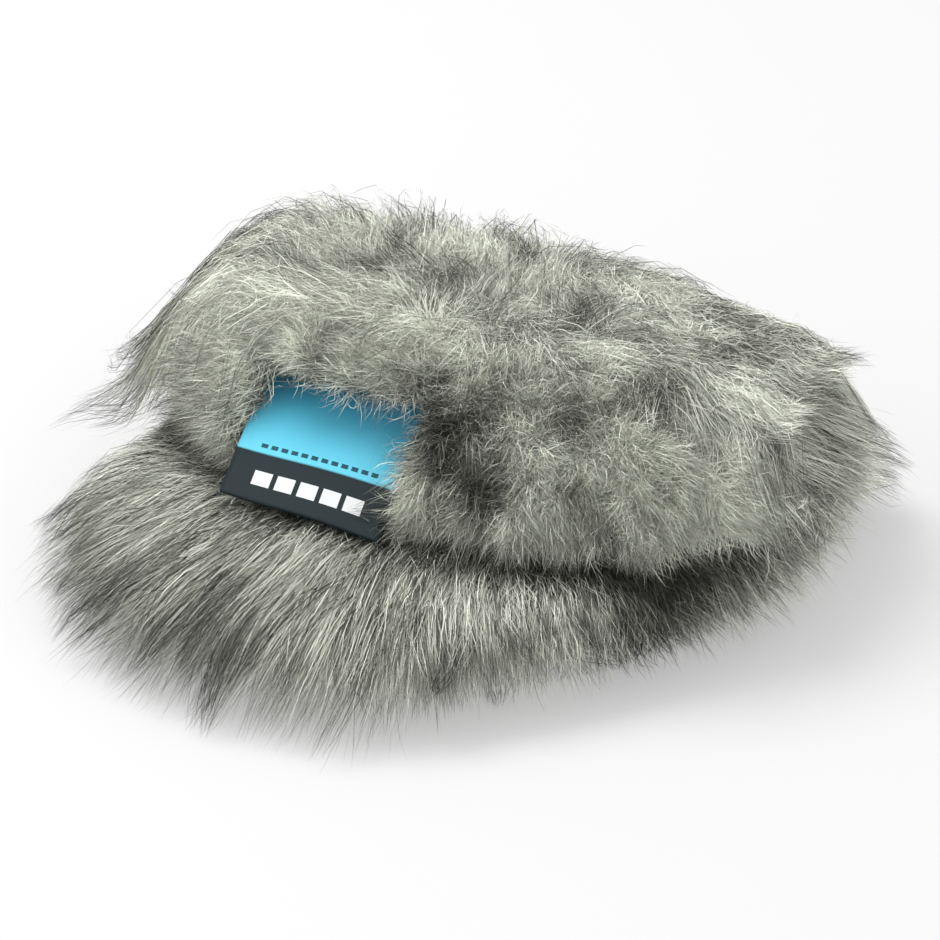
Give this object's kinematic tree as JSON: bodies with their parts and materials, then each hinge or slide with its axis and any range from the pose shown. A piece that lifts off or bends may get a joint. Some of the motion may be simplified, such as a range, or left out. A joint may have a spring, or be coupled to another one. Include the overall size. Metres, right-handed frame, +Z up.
{
  "type": "furry windscreen",
  "caption": "Long-pile grey fur cover for a basket microphone windshield, folded flat, with a ribbon label and a zip.",
  "frame": {"origin": "centre of the folded cover's footprint, on the surface it lies on", "axes": "+X along the fold, +Y towards the fold at the back, +Z up"},
  "size_m": [0.19, 0.1557, 0.066],
  "materials": {
    "fur": "long grey pile with dark tips",
    "knit": "matte knitted ground",
    "binding": "matte woven tape",
    "elastic": "matte",
    "thread": "matte spun thread",
    "zip_tape": "matte woven tape",
    "zip_teeth": "satin moulded",
    "zip_metal": "satin black",
    "label_blue": "satin woven ribbon",
    "label_dark": "satin woven ribbon"
  },
  "bodies": {
    "nose_half": {"nose_outer_fur": "fur", "nose_inner_fur": "fur", "nose_cap_fur": "fur", "nose_fold_fur": "fur", "nose_outer_knit": "knit", "nose_inner_knit": "knit", "nose_cap_knit": "knit", "nose_cap_seam": "thread", "nose_left_seam": "thread", "nose_right_seam": "thread"},
    "mouth_half": {"mouth_outer_fur": "fur", "mouth_inner_fur": "fur", "mouth_fold_fur": "fur", "mouth_outer_knit": "knit", "mouth_inner_knit": "knit", "mouth_left_seam": "thread", "hem_binding": "binding", "hem_elastic": "elastic", "hem_stitching": "thread", "zip_tape_outer": "zip_tape", "zip_tape_inner": "zip_tape", "zip_teeth_outer": "zip_teeth", "zip_teeth_inner": "zip_teeth", "zip_top_stops": "zip_metal", "zip_bottom_stop": "zip_metal", "zip_stitching": "thread", "label_sewn_bar": "thread"},
    "zip_slider": {"zip_slider_body": "zip_metal"},
    "zip_pull_tab": {"zip_pull": "zip_metal"},
    "label": {"label_ribbon": "label_blue", "label_band": "label_dark"}
  },
  "joints": [
    {"name": "unfold", "type": "hinge", "parent": "nose_half", "child": "mouth_half", "pos_m": [0, 0.078, 0.034], "axis": [-1, 0, 0], "range_deg": [0, 180]},
    {"name": "zip_slide", "type": "slide", "parent": "mouth_half", "child": "zip_slider", "axis": [0, 1, 0], "range_m": [0, 0.036]},
    {"name": "pull_swing", "type": "hinge", "parent": "zip_slider", "child": "zip_pull_tab", "pos_m": [0.0737, 0.0186, 0.047], "axis": [0, 0, -1], "range_deg": [0, 170]},
    {"name": "label_lift", "type": "hinge", "parent": "mouth_half", "child": "label", "pos_m": [-0.02975, 0.0098, 0.046], "axis": [-1, 0, 0], "range_deg": [0, 30]}
  ]
}
